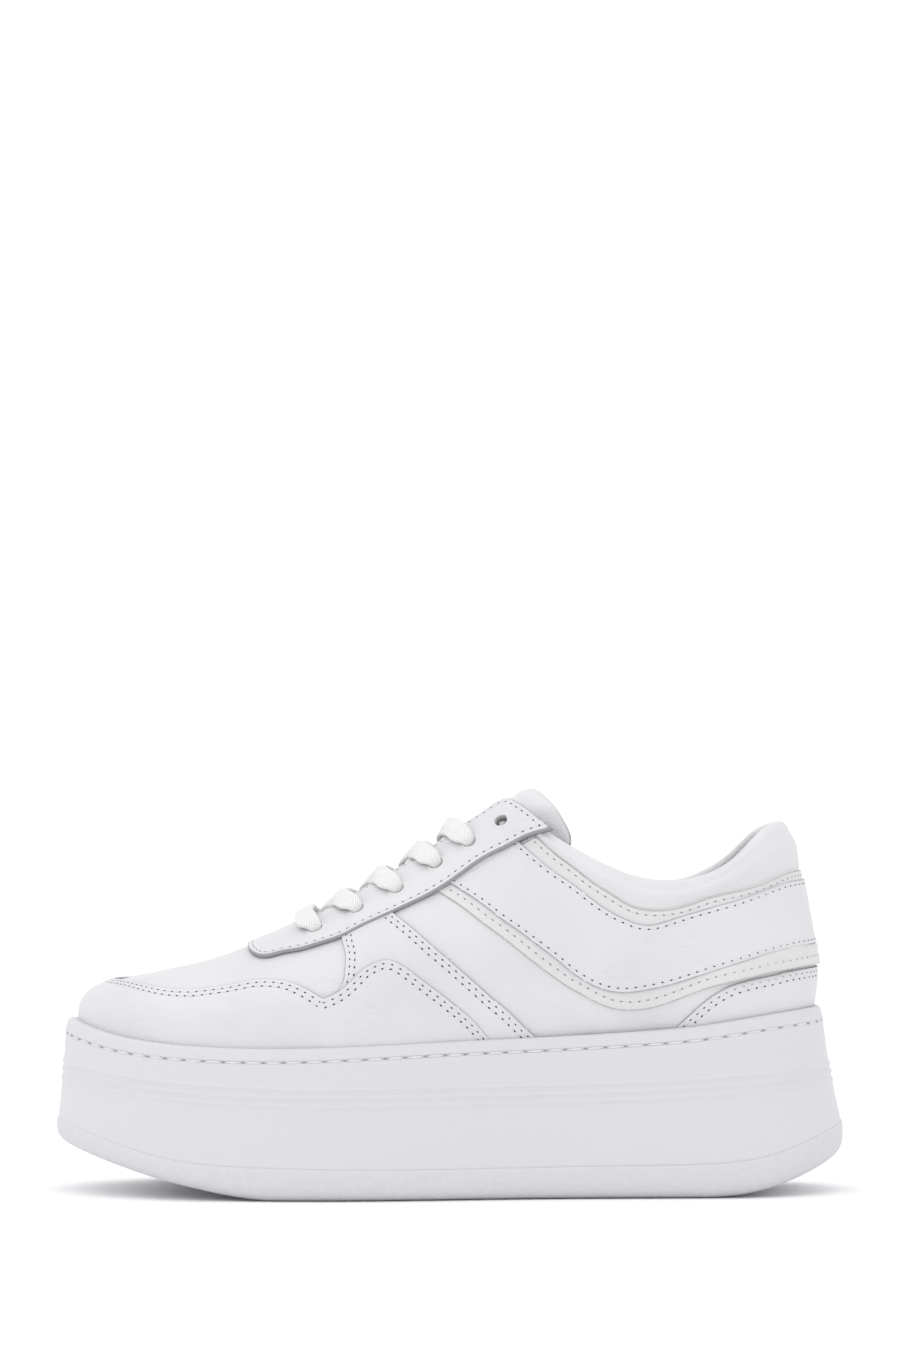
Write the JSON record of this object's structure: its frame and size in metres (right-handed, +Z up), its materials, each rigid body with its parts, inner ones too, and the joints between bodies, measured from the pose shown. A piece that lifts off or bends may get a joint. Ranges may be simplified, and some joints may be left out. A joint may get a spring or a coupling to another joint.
{
  "type": "platform sneaker",
  "caption": "Low lace-up platform sneaker for the left foot: panelled leather upper, padded collar and tongue, flat laces, thick moulded sole.",
  "frame": {"origin": "on the floor under the middle of the shoe's bounding box", "axes": "+X towards the heel, so the toe points along -X; -Y towards the outer (lateral) side of the foot; +Z up from the floor"},
  "size_m": [0.2793, 0.1095, 0.1421],
  "materials": {
    "leather": "white smooth leather, pressed fine grain, cut edges left bare",
    "soft_leather": "white soft nappa over foam, finely wrinkled",
    "lining": "off-white matt lining",
    "midsole_rubber": "white moulded rubber, satin, cool tone",
    "outsole_rubber": "white moulded rubber, matt",
    "cotton_lace": "white flat woven cotton"
  },
  "bodies": {
    "root": {"outsole": "outsole_rubber", "midsole": "midsole_rubber", "insole": "lining", "upper": "leather", "tongue": "soft_leather", "toe_guard": "leather", "heel_counter": "leather", "lace_stay": "leather", "lace_bar": "cotton_lace", "lace_cross_1": "cotton_lace", "lace_cross_2": "cotton_lace", "lace_cross_3": "cotton_lace", "lace_cross_4": "cotton_lace"}
  },
  "joints": []
}
